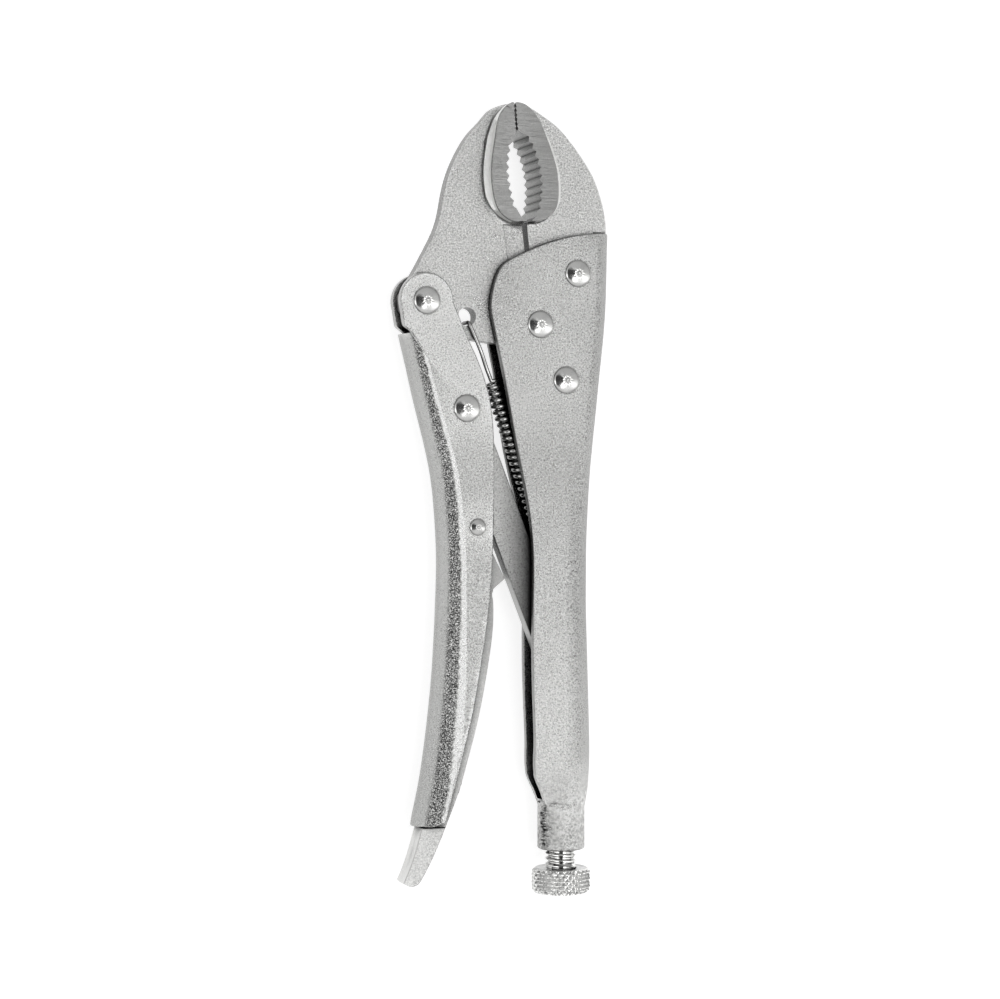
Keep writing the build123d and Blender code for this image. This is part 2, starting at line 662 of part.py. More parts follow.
# straight top hook, easing from the front of the jaw down to the coil once past the jaw
hook_corner = Vector(HOLE[0] + 0.3, HOLE[1] - 1.8, HOOK_Z)
coil_in = first - axis_dir * 1.7 - side_dir * 0.5
hook_dir = Vector(coil_in.X - hook_corner.X, coil_in.Y - hook_corner.Y, 0).normalized()
hook_run = hook_corner + hook_dir * 7.8
hook_end = hook_corner + up * -(BEND + 3.6)
foot_corner = foot + up * FOOT_Z
coil_out = last + axis_dir * 2.4 + side_dir * 1.9
slope_out = (foot_corner - coil_out).normalized()
foot_end = foot_corner + up * -(BEND + 1.4)

nodes = [(hook_end, up), (hook_corner - up * BEND, up), (hook_corner + hook_dir * BEND, hook_dir),
         (hook_run, hook_dir), (coil_in, hook_dir), (first, coil_tangent(0))]
for k in range(1, 2 * TURNS + 1):
    nodes.append((coil_point(k / 2), coil_tangent(k / 2)))
nodes += [(coil_out, slope_out), (foot_corner - slope_out * BEND, slope_out),
          (foot_corner - up * BEND, up * -1), (foot_end, up * -1)]

with BuildPart() as return_spring:
    with BuildLine() as wire_path:
        for (p0, t0), (p1, t1) in zip(nodes, nodes[1:]):
            if (p1 - p0).cross(t0).length < 1e-6 and (p1 - p0).cross(t1).length < 1e-6:
                Line(p0 + lift, p1 + lift)
            else:
                m, tm = biarc(p0, t0, p1, t1)
                TangentArc(p0 + lift, m + lift, tangent=t0)
                TangentArc(m + lift, p1 + lift, tangent=tm)
    with BuildSketch(Plane(origin=hook_end + lift, z_dir=(0, 0, 1))):
        Circle(WIRE / 2)
    sweep(path=wire_path.wire())
return_spring.part.label = "return_spring"

# least clear distance of the wire to itself, measured on points along its path
samples = []
travel = 0.0
for e in wire_path.wire().edges():
    n = max(2, int(e.length / 0.25))
    for i in range(n):
        samples.append((travel + e.length * i / n, e.position_at(i / n)))
    travel += e.length
samples.sort(key=lambda s: s[0])
least = 1e9
for i in range(len(samples)):
    for j in range(i + 1, min(i + 400, len(samples))):
        if samples[j][0] - samples[i][0] > 6.0:
            least = min(least, (samples[j][1] - samples[i][1]).length)
print("return spring least gap to itself", round(least - WIRE, 3), "mm")

export_step(fixed_handle.part, "parts/fixed_handle.step")
export_step(fixed_jaw.part, "parts/fixed_jaw.step")
export_step(moving_jaw.part, "parts/moving_jaw.step")
export_step(lever_handle.part, "parts/lever_handle.step")
export_step(toggle_link.part, "parts/toggle_link.step")
export_step(release_lever.part, "parts/release_lever.step")
export_step(adjusting_screw.part, "parts/adjusting_screw.step")
export_step(return_spring.part, "parts/return_spring.step")
export_step(jaw_pivot_rivet.part, "parts/jaw_pivot_rivet.step")
export_step(upper_jaw_rivet.part, "parts/upper_jaw_rivet.step")
export_step(lower_jaw_rivet.part, "parts/lower_jaw_rivet.step")
export_step(lever_rivet.part, "parts/lever_rivet.step")
export_step(link_rivet.part, "parts/link_rivet.step")
export_step(trigger_rivet.part, "parts/trigger_rivet.step")
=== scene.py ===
import math

import bmesh
import bpy
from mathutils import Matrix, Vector


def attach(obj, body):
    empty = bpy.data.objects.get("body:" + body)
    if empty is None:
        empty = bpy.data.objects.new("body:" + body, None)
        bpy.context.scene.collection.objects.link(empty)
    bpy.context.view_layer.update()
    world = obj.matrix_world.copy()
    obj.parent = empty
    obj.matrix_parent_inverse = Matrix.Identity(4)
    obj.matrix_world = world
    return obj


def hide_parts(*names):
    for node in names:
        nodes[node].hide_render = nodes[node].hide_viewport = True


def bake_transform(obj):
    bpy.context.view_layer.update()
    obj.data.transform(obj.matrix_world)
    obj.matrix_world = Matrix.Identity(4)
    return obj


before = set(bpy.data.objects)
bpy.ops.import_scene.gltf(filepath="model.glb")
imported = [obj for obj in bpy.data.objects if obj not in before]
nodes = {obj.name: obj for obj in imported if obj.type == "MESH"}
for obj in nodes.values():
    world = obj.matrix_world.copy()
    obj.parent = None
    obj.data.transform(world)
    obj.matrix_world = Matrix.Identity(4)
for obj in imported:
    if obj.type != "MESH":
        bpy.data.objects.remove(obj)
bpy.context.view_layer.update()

MM = 0.001
MID = 9.4 * MM            # middle plane of the pliers above the table


def mm(*values):
    """Metres from millimetres."""
    return tuple(value * MM for value in values)


# Rivets, in millimetres: head radius, half grip, rise of the head, shank radius
LARGE_RIVET = (4.3, 5.32, 1.4, 3.0)
SMALL_RIVET = (2.65, 5.44, 1.1, 1.6)
# Body that carries each rivet, its place and its size
RIVETS = {
    "jaw_pivot_rivet": ("frame", 11.7, 55.1, LARGE_RIVET),
    "upper_jaw_rivet": ("frame", 24.4, 71.5, LARGE_RIVET),
    "lower_jaw_rivet": ("frame", 20.4, 37.7, LARGE_RIVET),
    "lever_rivet": ("lever", -25.9, 61.6, LARGE_RIVET),
    "link_rivet": ("lever", -12.8, 28.4, LARGE_RIVET),
    "trigger_rivet": ("lever", -9.3, -8.6, SMALL_RIVET),
}
RIVET_HOLE = 3.6          # edges within this distance of a rivet's axis stay sharp
# Side line of a head from its middle outward, as shares of its radius and rise
RIVET_DOME = ((0.0, 0.99), (0.07, 0.98), (0.12, 0.94), (0.16, 0.86), (0.20, 0.83), (0.25, 0.86),
              (0.30, 0.88), (0.38, 0.84), (0.48, 0.77), (0.58, 0.69), (0.68, 0.60), (0.78, 0.51),
              (0.87, 0.41), (0.93, 0.31), (0.98, 0.18), (1.0, 0.07), (0.99, 0.0))
RIVET_STEPS = 80
STAR_LOBES = 5
STAR_REACH = 0.45         # share of the head's radius
STAR_DEPTH = 0.07         # share of the head's rise

# Adjusting screw: its axis runs along Y
SCREW_X = 20.6 * MM
SCREW_AXIS = Vector((SCREW_X, 0, MID))
PITCH = 1.75 * MM
CREST = 4.95 * MM
ROOT = 4.05 * MM
SHANK_TOP = -65.0 * MM
SHANK_STEPS = 56
NECK_R = 4.7 * MM
KNOB_TOP = -116.7 * MM
KNOB_END = -124.8 * MM
KNOB_R = 9.38 * MM
KNOB_CORNER = 1.7 * MM
CORNER_STEPS = 8
KNOB_ROWS = 36
KNOB_DIMPLE = 0.35 * MM
KNURLS = 26
STEPS_PER_KNURL = 12
KNURL_DEPTH = 0.62 * MM
KNURL_STEEPNESS = 1.05
KNURL_FLANK = 2.2         # more than 2 leaves a small flat on each diamond
KNURL_RIM = 0.9 * MM      # the knurl is cut only this near the outside
KNURL_FADE = 0.6 * MM     # and reaches its full depth over this width

# Rolled tube at the tail of the fixed handle
TUBE_R = 7.5 * MM
# Its weld: top and length in millimetres, angle from the left side in degrees, width in radians
WELD_TOP, WELD_LENGTH = -95.4, 14.0
WELD_ANGLE, WELD_WIDTH = 22.0, 0.46
# The crease at its top: height and width in millimetres, first angle and turn in degrees
CREASE_AT, CREASE_WIDTH = -96.6, 1.1
CREASE_FROM, CREASE_TURN = 38.0, 74.0

# Raised jaw heads: half thickness of the plate they stand on, height of the step, lean of the wall
PLATE_HALF = 2.65 * MM
COLLAR_STEP = 4.2 * MM
COLLAR_LEAN = 1.6 * MM
# Where the collar runs along Y, and how it fades at each end
COLLAR_FROM, COLLAR_TO = 88 * MM, 122 * MM
COLLAR_FADE_IN, COLLAR_FADE_OUT = 7 * MM, 9 * MM
COLLAR_SLACK = 0.02 * MM

# Back flange of the fixed handle beside the spring: where it is drawn out, in millimetres, and how far
FLANGE_FROM, FLANGE_TO = -20, 45
FLANGE_REACH = 1.5 * MM

# Places on the jaws that carry no plating or take painted shade: middle and half spans
TEETH_AT, TEETH_SPAN = mm(5.6, 102.0), mm(7.6, 17.0)
SLIT_AT, SLIT_SPAN = mm(8.6, 78.0), mm(2.6, 11.0)

# Grain of the finishes: scale, detail and roughness of each noise
FINE_GRAIN = (1900, 3.0, 0.7)
CLOUDS = (45, 3.0, 0.55)
PITTING = (260, 2.0, 0.5)
HEAT_BLOTCHES = (900, 4.0, 0.7)
# noise that breaks up the painted shade on the release lever's tail
TAIL_SHADE_SPECKS = (900, 3.0, 0.7)
# noise of the painted glints on the lever handle's bends
BEND_GLINT_SPECKS = (2500, 3.0, 0.75)
ORANGE_PEEL = (2200, 2.0, 0.6)
BRIGHT_CLOUDS = (300, 3.0, 0.55)
WHEEL_LINES = (1.0, 4.0, 0.65)
WHEEL_STRETCH = (90, 5200, 90)
GRAIN_DEPTH = 0.0003
PEEL_DEPTH = 0.0001
STEEL_TINT = (1.0, 1.0, 0.985)

# Camera: it looks from the left, and this width is in view at the middle plane
VIEW_LEAN = math.radians(20.0)
VIEW_FROM = 0.75
VIEW_WIDTH = 0.3149
SENSOR = 36.0

# Table
TABLE_HALF = 3.0
TABLE_GREY = 0.5
TABLE_GLOW = 0.82

# Light tent: brightness of its parts, and where they lie from left to right
TENT_LOW = 0.80
TENT_PANEL = 0.03
TENT_STRIP = 1.25
TENT_RIGHT = 0.56
TENT_ENDS = 0.44
TENT_ACROSS = ((-0.70, TENT_LOW), (-0.54, TENT_PANEL), (-0.09, TENT_PANEL),
               (0.02, TENT_STRIP), (0.17, TENT_STRIP), (0.40, TENT_RIGHT))


# Shader wiring

class Wiring:
    """Adds and joins the nodes of one shader tree."""

    def __init__(self, tree):
        self.tree = tree

    def add(self, kind, **settings):
        node = self.tree.nodes.new(kind)
        for key, value in settings.items():
            setattr(node, key, value)
        return node

    def feed(self, socket, value):
        if isinstance(value, (int, float)):
            socket.default_value = value
        else:
            self.tree.links.new(value, socket)

    def math(self, how, *values):
        node = self.add("ShaderNodeMath", operation=how)
        for socket, value in zip(node.inputs, values):
            self.feed(socket, value)
        return node.outputs[0]

    def plus(self, a, b):
        return self.math("ADD", a, b)

    def minus(self, a, b):
        return self.math("SUBTRACT", a, b)

    def times(self, a, b):
        return self.math("MULTIPLY", a, b)

    def part(self, vector, which):
        node = self.add("ShaderNodeSeparateXYZ")
        self.feed(node.inputs[0], vector)
        return node.outputs[which]

    def ramp(self, value, low, high, out_low, out_high):
        node = self.add("ShaderNodeMapRange")
        node.clamp = True
        self.feed(node.inputs[0], value)
        for socket, limit in zip(node.inputs[1:5], (low, high, out_low, out_high)):
            socket.default_value = limit
        return node.outputs[0]

    def mix(self, fac, a, b):
        node = self.add("ShaderNodeMix", data_type="FLOAT")
        for socket, value in zip((node.inputs[0], node.inputs[2], node.inputs[3]), (fac, a, b)):
            self.feed(socket, value)
        return node.outputs[0]

    def band(self, value, rise, fall):
        """1 between two soft limits, each given as a pair."""
        return self.times(self.ramp(value, *rise, 0.0, 1.0), self.ramp(value, *fall, 1.0, 0.0))


class Finish(Wiring):
    """Wires one procedural material."""

    def __init__(self, name):
        self.mat = bpy.data.materials.new(name)
        self.mat.use_nodes = True
        super().__init__(self.mat.node_tree)
        self.shader = self.tree.nodes["Principled BSDF"]
        self.place = self.add("ShaderNodeTexCoord").outputs["Object"]

    def axis(self, which):
        return self.part(self.place, which)

    def lean(self):
        """Upright part of the surface's direction: 1 on the front, 0 on the sides, -1 on the back."""
        return self.part(self.add("ShaderNodeTexCoord").outputs["Normal"], "Z")

    def stretched(self, scale):
        node = self.add("ShaderNodeMapping")
        node.inputs["Scale"].default_value = scale
        self.feed(node.inputs["Vector"], self.place)
        return node.outputs[0]

    def noise(self, scale, detail, rough, where=None):
        node = self.add("ShaderNodeTexNoise")
        node.inputs["Scale"].default_value = scale
        node.inputs["Detail"].default_value = detail
        node.inputs["Roughness"].default_value = rough
        self.feed(node.inputs["Vector"], where or self.place)
        return node.outputs["Fac"]

    def vary(self, noise, low, high):
        """Spreads the usual span of a noise between two values."""
        return self.ramp(noise, 0.3, 0.7, low, high)

    def hollow(self, reach, closed, open_):
        """0 deep in a crevice narrower than reach, 1 in the open; reversed if closed is above open_."""
        node = self.add("ShaderNodeAmbientOcclusion", samples=6)
        node.inputs["Distance"].default_value = reach
        return self.ramp(node.outputs["AO"], closed, open_, 0.0, 1.0)

    def shade_and_grime(self, reach, closed, open_, left):
        """Brightness left in a crevice by painted shade, with some grime, 1 in the open; reach is in
        millimetres.
        """
        return self.mix(self.hollow(reach * MM, closed, open_), left, 1.0)

    def inside_oval(self, middle, span):
        """1 inside an upright oval of the XY plane, given by its middle and half spans."""
        squares = []
        for which, at, half in zip(("X", "Y"), middle, span):
            reach = self.math("DIVIDE", self.minus(self.axis(which), at), half)
            squares.append(self.times(reach, reach))
        return self.ramp(self.plus(*squares), 0.97, 1.03, 1.0, 0.0)

    def edge(self):
        """1 along worn outer edges."""
        return self.ramp(self.add("ShaderNodeNewGeometry").outputs["Pointiness"], 0.52, 0.60, 0.0, 1.0)

    def colour(self, value):
        node = self.add("ShaderNodeCombineColor")
        for socket, tint in zip(node.inputs, STEEL_TINT):
            self.feed(socket, self.times(value, tint))
        self.feed(self.shader.inputs["Base Color"], node.outputs[0])

    def metal(self, roughness):
        self.shader.inputs["Metallic"].default_value = 1.0
        self.feed(self.shader.inputs["Roughness"], roughness)

    def bump(self, height, strength, depth):
        node = self.add("ShaderNodeBump")
        node.inputs["Strength"].default_value = strength
        node.inputs["Distance"].default_value = depth
        self.feed(node.inputs["Height"], height)
        self.feed(self.shader.inputs["Normal"], node.outputs[0])


# Camera, table and light

def place_camera():
    cam = bpy.data.cameras.new("camera")
    cam.sensor_fit = "HORIZONTAL"
    cam.sensor_width = SENSOR
    cam.lens = SENSOR * VIEW_FROM / VIEW_WIDTH
    cam.clip_start = 0.01
    cam.clip_end = 20.0
    eye = bpy.data.objects.new("camera", cam)
    bpy.context.scene.collection.objects.link(eye)
    eye.location = (-VIEW_FROM * math.sin(VIEW_LEAN), 0.0, MID + VIEW_FROM * math.cos(VIEW_LEAN))
    eye.rotation_euler = (0.0, -VIEW_LEAN, 0.0)
    bpy.context.scene.camera = eye


def lay_table():
    """White sheet that glows to the eye and in reflections only."""
    bm = bmesh.new()
    bmesh.ops.create_grid(bm, x_segments=2, y_segments=2, size=TABLE_HALF)
    mesh = bpy.data.meshes.new("table_top")
    bm.to_mesh(mesh)
    bm.free()
    top = bpy.data.objects.new("table_top", mesh)
    bpy.context.scene.collection.objects.link(top)
    paint = Finish("white_table")
    paint.shader.inputs["Base Color"].default_value = (TABLE_GREY, TABLE_GREY, TABLE_GREY, 1)
    paint.shader.inputs["Roughness"].default_value = 0.9
    paint.shader.inputs["Specular IOR Level"].default_value = 0.0
    rays = paint.add("ShaderNodeLightPath").outputs
    seen = paint.math("MAXIMUM", rays["Is Camera Ray"], rays["Is Glossy Ray"])
    seen = paint.math("MAXIMUM", seen, rays["Is Transmission Ray"])
    paint.shader.inputs["Emission Color"].default_value = (1, 1, 1, 1)
    paint.feed(paint.shader.inputs["Emission Strength"], paint.times(seen, TABLE_GLOW))
    mesh.materials.append(paint.mat)


def light_room():
    """Light tent: light low left, a dark panel above it, a bright strip overhead, an even right half."""
    world = bpy.data.worlds.new("light_tent")
    bpy.context.scene.world = world
    world.use_nodes = True
    tent = Wiring(world.node_tree)
    ray = tent.add("ShaderNodeTexCoord").outputs["Generated"]
    x, y, z = (tent.part(ray, which) for which in ("X", "Y", "Z"))

    across = tent.add("ShaderNodeValToRGB")
    tent.feed(across.inputs[0], tent.ramp(x, -1.0, 1.0, 0.0, 1.0))
    stops = across.color_ramp.elements
    stops[0].color = (TENT_LOW, TENT_LOW, TENT_LOW, 1)
    stops[1].color = (TENT_RIGHT, TENT_RIGHT, TENT_RIGHT, 1)
    for at, level in TENT_ACROSS:
        stops.new(0.5 + at / 2).color = (level, level, level, 1)

    ends = tent.math("MAXIMUM", tent.ramp(y, 0.28, 0.46, 0.0, 1.0), tent.ramp(y, -0.46, -0.28, 1.0, 0.0))
    walls = tent.add("ShaderNodeMix", data_type="RGBA")
    tent.feed(walls.inputs[0], ends)
    tent.feed(walls.inputs[6], across.outputs[0])
    walls.inputs[7].default_value = (TENT_ENDS, TENT_ENDS, TENT_ENDS, 1)

    # dimmer towards the table, brighter over the handles, dim again past their ends
    upward = tent.ramp(z, 0.05, 0.75, 0.35, 1.0)
    lengthwise = tent.times(tent.ramp(y, -0.16, 0.10, 3.05, 1.09), tent.ramp(y, -0.48, -0.22, 0.50, 1.0))
    back = tent.tree.nodes["Background"]
    tent.feed(back.inputs["Color"], walls.outputs[2])
    tent.feed(back.inputs["Strength"], tent.times(upward, lengthwise))


# Finishes

def heated_tail(coat, tone, heat):
    """Fixed handle: paler towards its tail, with painted shade down its rolled side and a painted glare ring
    where the tube begins, blotched by the weld's heat.
    """
    y = coat.axis("Y")
    tone = coat.plus(tone, coat.ramp(y, *mm(-70, 40), 0.14, -0.09))
    # painted shade down the rolled right side
    rolled = coat.times(coat.ramp(coat.axis("X"), *mm(19.5, 23), 0.0, 1.0),
                        coat.band(y, mm(-88, -80), mm(-25, 15)))
    tone = coat.minus(tone, coat.times(rolled, 0.17))
    blotch = coat.ramp(coat.noise(*HEAT_BLOTCHES), 0.35, 0.65, -0.30, 0.22)
    tone = coat.plus(tone, coat.times(heat, blotch))
    # painted highlight: a glare ring at the top of the tube
    painted_glare_ring = coat.band(y, mm(-106, -99), mm(-97, -90))
    return coat.plus(tone, coat.times(painted_glare_ring, 0.14))


def painted_shade_across(coat, tone, tilt, shade_across):
    """Painted shade on flat faces, darker across X: two places, and the share of brightness at each."""
    flat = coat.ramp(tilt, 0.5, 0.9, 0.0, 1.0)
    return coat.mix(flat, tone, coat.times(tone, coat.ramp(coat.axis("X"), *shade_across)))


def painted_tail_shade(coat, tone):
    """Release lever: painted shade along one edge of its tail, broken up by speckled noise."""
    across = coat.minus(coat.axis("X"), coat.times(coat.axis("Y"), 0.40))
    # worn: where the painted shade falls, along the tail's edge
    worn = coat.times(coat.ramp(across, *mm(14, 20), 0.0, 1.0),
                      coat.ramp(coat.axis("Y"), *mm(-97, -90), 1.0, 0.0))
    # specks that break up the painted shade
    tail_specks = coat.ramp(coat.noise(*TAIL_SHADE_SPECKS), 0.35, 0.65, -0.06, 0.22)
    return coat.minus(tone, coat.times(worn, tail_specks))


def painted_bend_glints(coat, tone, tilt, share):
    """Lever handle: a painted highlight along the crown of its bends, beside a band of painted glints in
    specks.
    """
    # painted highlight along the crown of the bends
    crown = coat.band(tilt, (0.982, 0.990), (0.9985, 0.9998))
    tone = coat.plus(tone, coat.times(crown, 0.34))
    # peel: painted glints, bright and dark specks in the corner band of the bends
    peel = coat.ramp(coat.noise(*BEND_GLINT_SPECKS), 0.48, 0.60, 0.0, 1.0)
    corner = coat.band(tilt, (0.82, 0.89), (0.980, 0.989))
    return coat.mix(coat.times(corner, share), tone, peel)


def shaded_hollows(coat, lean, seam):
    """Brightness left by painted shade in the seams, in deep hollows and on the inner walls of a channel."""
    inward = coat.times(lean, coat.minus(coat.axis("Z"), MID))
    inner_wall = coat.ramp(inward, *mm(-0.6, -0.3), 1.0, 0.0)
    # painted shade: the inner walls of a channel go nearly black
    channel = coat.mix(coat.times(inner_wall, coat.hollow(20 * MM, 0.50, 0.36)), 1.0, 0.02)
    # painted shade in deep hollows
    deep = coat.shade_and_grime(8, 0.32, 0.70, 0.02)
    return coat.times(coat.shade_and_grime(*seam), coat.times(deep, channel))


def satin_plating(name, level=0.62, rough=0.29, speckle=0.34, grain=1.0, pits=(0.78, 0.45),
                  seam=(1.2, 0.42, 0.90, 0.10), sides=0.66, shade_across=None, heated=False, stretched=0.0,
                  tail_shade=False):
    """Bead-blasted bright plating: sparkling fine grain, smooth bends, painted shade on faces turned
    sideways, in seams and in hollows, worn edges.

    pits: noise level where they begin, and the brightness left in them. seam: what shade_and_grime() takes.
    sides: brightness of the painted shade on faces turned sideways.
    """
    coat = Finish(name)
    lean = coat.lean()
    tilt = coat.math("ABSOLUTE", lean)
    fine = coat.noise(*FINE_GRAIN)
    cloud = coat.noise(*CLOUDS)
    begin, left = pits
    marks = coat.ramp(coat.noise(*PITTING), begin, begin + 0.06, 1.0, left)
    grains = coat.times(coat.vary(fine, -speckle, speckle), coat.ramp(tilt, 0.90, 0.985, 0.25, 1.0))
    tone = coat.plus(coat.vary(cloud, level - 0.03, level + 0.03), grains)
    # painted shade: faces turned sideways are darker
    tone = coat.times(tone, coat.ramp(tilt, 0.35, 0.85, sides, 1.0))
    tone = coat.plus(tone, coat.times(coat.edge(), 0.14))
    dull = coat.plus(coat.vary(cloud, rough - 0.03, rough + 0.03), coat.vary(fine, -0.06, 0.06))
    if heated:
        heat = coat.ramp(coat.axis("Y"), *mm(-97, -84), 1.0, 0.0)
        tone = heated_tail(coat, tone, heat)
        dull = coat.plus(dull, coat.times(heat, 0.16))
    # painted shade across the flat faces
    if shade_across:
        tone = painted_shade_across(coat, tone, tilt, shade_across)
    # painted shade along the edge of the trigger's tail
    if tail_shade:
        tone = painted_tail_shade(coat, tone)
    # painted highlight and painted glints on the bends; stretched is the share of the glints
    if stretched:
        tone = painted_bend_glints(coat, tone, tilt, stretched)
    coat.colour(coat.times(coat.times(tone, marks), shaded_hollows(coat, lean, seam)))
    coat.metal(dull)
    coat.bump(fine, grain, GRAIN_DEPTH)
    return coat.mat


def jaw_finish(name):
    """Plated forging whose gripping heads are ground flat, with the wheel's lines across them."""
    coat = Finish(name)
    off = coat.math("ABSOLUTE", coat.minus(coat.axis("Z"), MID))
    tilt = coat.math("ABSOLUTE", coat.lean())
    ground = coat.ramp(off, *mm(6.86, 6.96), 0.0, 1.0)
    lines = coat.noise(*WHEEL_LINES, coat.stretched(WHEEL_STRETCH))
    fine = coat.noise(*FINE_GRAIN)
    cloud = coat.noise(*CLOUDS)

    plated = coat.plus(coat.vary(cloud, 0.64, 0.71), coat.vary(fine, -0.38, 0.38))
    # painted shade on faces turned sideways, and a painted highlight on sloping faces
    plated = coat.times(plated, coat.ramp(tilt, 0.25, 0.60, 0.38, 1.0))
    plated = coat.plus(plated, coat.times(coat.band(tilt, (0.55, 0.72), (0.95, 0.985)), 0.30))
    steel = coat.plus(coat.ramp(lines, 0.25, 0.75, 0.32, 0.46), coat.vary(fine, -0.04, 0.04))
    steel = coat.times(steel, coat.ramp(coat.axis("X"), *mm(4, 14), 1.0, 0.86))
    # painted shade, with some grime, in the seams and hollows of the jaw
    seams = coat.times(coat.shade_and_grime(0.6, 0.48, 0.97, 0.15), coat.shade_and_grime(7, 0.18, 0.46, 0.06))
    face = coat.times(coat.mix(ground, plated, steel), seams)

    # painted highlight on the sloping collar, with a painted shade line above it
    collar = coat.band(off, mm(3.9, 4.3), mm(5.7, 6.1))
    shade = coat.band(off, mm(5.8, 6.2), mm(6.7, 6.8))
    face = coat.mix(coat.times(shade, 0.6), face, 0.25)
    face = coat.mix(coat.times(collar, 0.9), face, 1.0)

    bare = coat.times(coat.inside_oval(TEETH_AT, TEETH_SPAN), coat.ramp(off, *mm(6.7, 6.85), 1.0, 0.0))
    # painted shade, with some grime, in the grooves between the teeth
    toothed = coat.times(coat.vary(fine, 0.24, 0.46), coat.shade_and_grime(0.8, 0.50, 0.97, 0.08))
    # painted shade on the walls of the slit
    slit_shade = coat.times(coat.inside_oval(SLIT_AT, SLIT_SPAN), coat.ramp(tilt, 0.4, 0.6, 1.0, 0.0))
    coat.colour(coat.times(coat.mix(bare, face, toothed), coat.mix(slit_shade, 1.0, 0.08)))
    coat.metal(coat.mix(ground, coat.vary(cloud, 0.26, 0.32), coat.vary(lines, 0.30, 0.40)))
    coat.bump(coat.mix(ground, fine, coat.times(lines, 0.5)), 0.9, GRAIN_DEPTH)
    return coat.mat


def bright_metal(name, level, rough, seam):
    """Smooth plated steel with a faint orange peel, painted shade on faces turned sideways, and painted
    shade with some grime in its grooves.
    """
    coat = Finish(name)
    fine = coat.noise(*ORANGE_PEEL)
    cloud = coat.noise(*BRIGHT_CLOUDS)
    tone = coat.plus(coat.vary(cloud, level - 0.05, level + 0.04), coat.times(coat.edge(), 0.08))
    # painted shade: faces turned sideways are darker
    tone = coat.times(tone, coat.ramp(coat.math("ABSOLUTE", coat.lean()), 0.0, 0.65, 0.34, 1.0))
    coat.colour(coat.times(tone, coat.shade_and_grime(*seam)))
    coat.metal(coat.vary(cloud, rough - 0.04, rough + 0.06))
    coat.bump(fine, 0.12, PEEL_DEPTH)
    return coat.mat


# Shaping helpers

def finish_piece(bm, name, material, body, node, smooth_angle):
    """Makes the piece: merged, smooth at edges below an angle in degrees, painted and tied to its body."""
    bmesh.ops.remove_doubles(bm, verts=bm.verts, dist=1e-6)
    bmesh.ops.recalc_face_normals(bm, faces=bm.faces)
    for face in bm.faces:
        face.smooth = True
    for edge in bm.edges:
        edge.smooth = len(edge.link_faces) == 2 and edge.calc_face_angle(0.0) < math.radians(smooth_angle)
    mesh = bpy.data.meshes.new(name)
    bm.to_mesh(mesh)
    bm.free()
    mesh.materials.append(material)
    piece = bpy.data.objects.new(name, mesh)
    bpy.context.scene.collection.objects.link(piece)
    if body:
        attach(piece, body)
    if node:
        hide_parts(node)
    return piece


def side_line(bm, points):
    """Draws a line through points and gives its corners and edges."""
    verts = [bm.verts.new(point) for point in points]
    return verts + [bm.edges.new(pair) for pair in zip(verts, verts[1:])]


def turned(bm, points, centre, axis, steps):
    """Turns a side line, given as points, once round an axis."""
    bmesh.ops.spin(bm, geom=side_line(bm, points), cent=centre, axis=axis, angle=2 * math.pi,
                   steps=steps, use_merge=True)


# Pressed and forged pieces with their edges rounded

def join_flats(bm):
    """Joins the facets of the flat front and back faces."""
    flat = [e for e in bm.edges if len(e.link_faces) == 2 and e.calc_face_angle(0.0) < 0.003
            and all(abs(face.normal.z) > 0.9998 for face in e.link_faces)]
    bmesh.ops.dissolve_limit(bm, angle_limit=math.radians(0.4), use_dissolve_boundaries=False, edges=flat,
                             verts=list({v for e in flat for v in e.verts}))


def sharp_edges(bm, left_sharp):
    """Edges to round: all sharp ones but those at the rivets and those that left_sharp keeps."""
    found = []
    for edge in bm.edges:
        if len(edge.link_faces) != 2 or edge.calc_face_angle(0.0) < math.radians(40):
            continue
        spot = (edge.verts[0].co + edge.verts[1].co) / 2 / MM
        at_rivet = any(math.hypot(spot.x - x, spot.y - y) < RIVET_HOLE for _, x, y, _ in RIVETS.values())
        if not at_rivet and not left_sharp(spot):
            found.append(edge)
    return found


def eased_edges(node, name, material, body, width, left_sharp, shape):
    """Copy of a piece, shaped a little, with its sharp edges rounded over as tumbling leaves them."""
    bm = bmesh.new()
    bm.from_mesh(nodes[node].data)
    bmesh.ops.remove_doubles(bm, verts=bm.verts, dist=2e-6)
    for change in shape:
        change(bm)
    bmesh.ops.bevel(bm, geom=sharp_edges(bm, left_sharp), offset=width, offset_type="OFFSET", segments=2,
                    profile=0.5, affect="EDGES", clamp_overlap=False, loop_slide=True, material=-1)
    bmesh.ops.triangulate(bm, faces=[face for face in bm.faces if len(face.verts) > 4])
    piece = finish_piece(bm, name, material, body, node, 50.0)
    even = piece.modifiers.new("even_shading", "WEIGHTED_NORMAL")
    even.mode = "FACE_AREA"
    even.weight = 100
    even.keep_sharp = True


def at_handle_bottom(spot):
    """Tail of the fixed handle: the tube's end, and the bore that the screw runs in."""
    in_bore = spot.y < -57 and math.hypot(spot.x - SCREW_X / MM, spot.z - MID / MM) < 6
    return in_bore or spot.y < -86


def at_ear_root(spot):
    """Where the lever's ears leave its web."""
    return spot.x < -20 and 40 < spot.y < 53


def at_mouth(spot):
    """Spring hole, teeth and the slit below them."""
    at_spring_hole = math.hypot(spot.x + 11.9, spot.y - 57.1) < 3.4
    among_teeth = 86 < spot.y < 126 and -0.6 < spot.x < 12.0
    in_slit = 60 < spot.y <= 88 and 5.5 < spot.x < 12
    return at_spring_hole or among_teeth or in_slit


def at_thumb_pad(spot):
    """Bend of the release lever, and the outer edge of its thumb pad."""
    at_bend = -36 < spot.y < -25
    on_pad = spot.y < -99 and spot.x < -30.2 + 0.35 * (spot.y + 119.8)
    return at_bend or on_pad


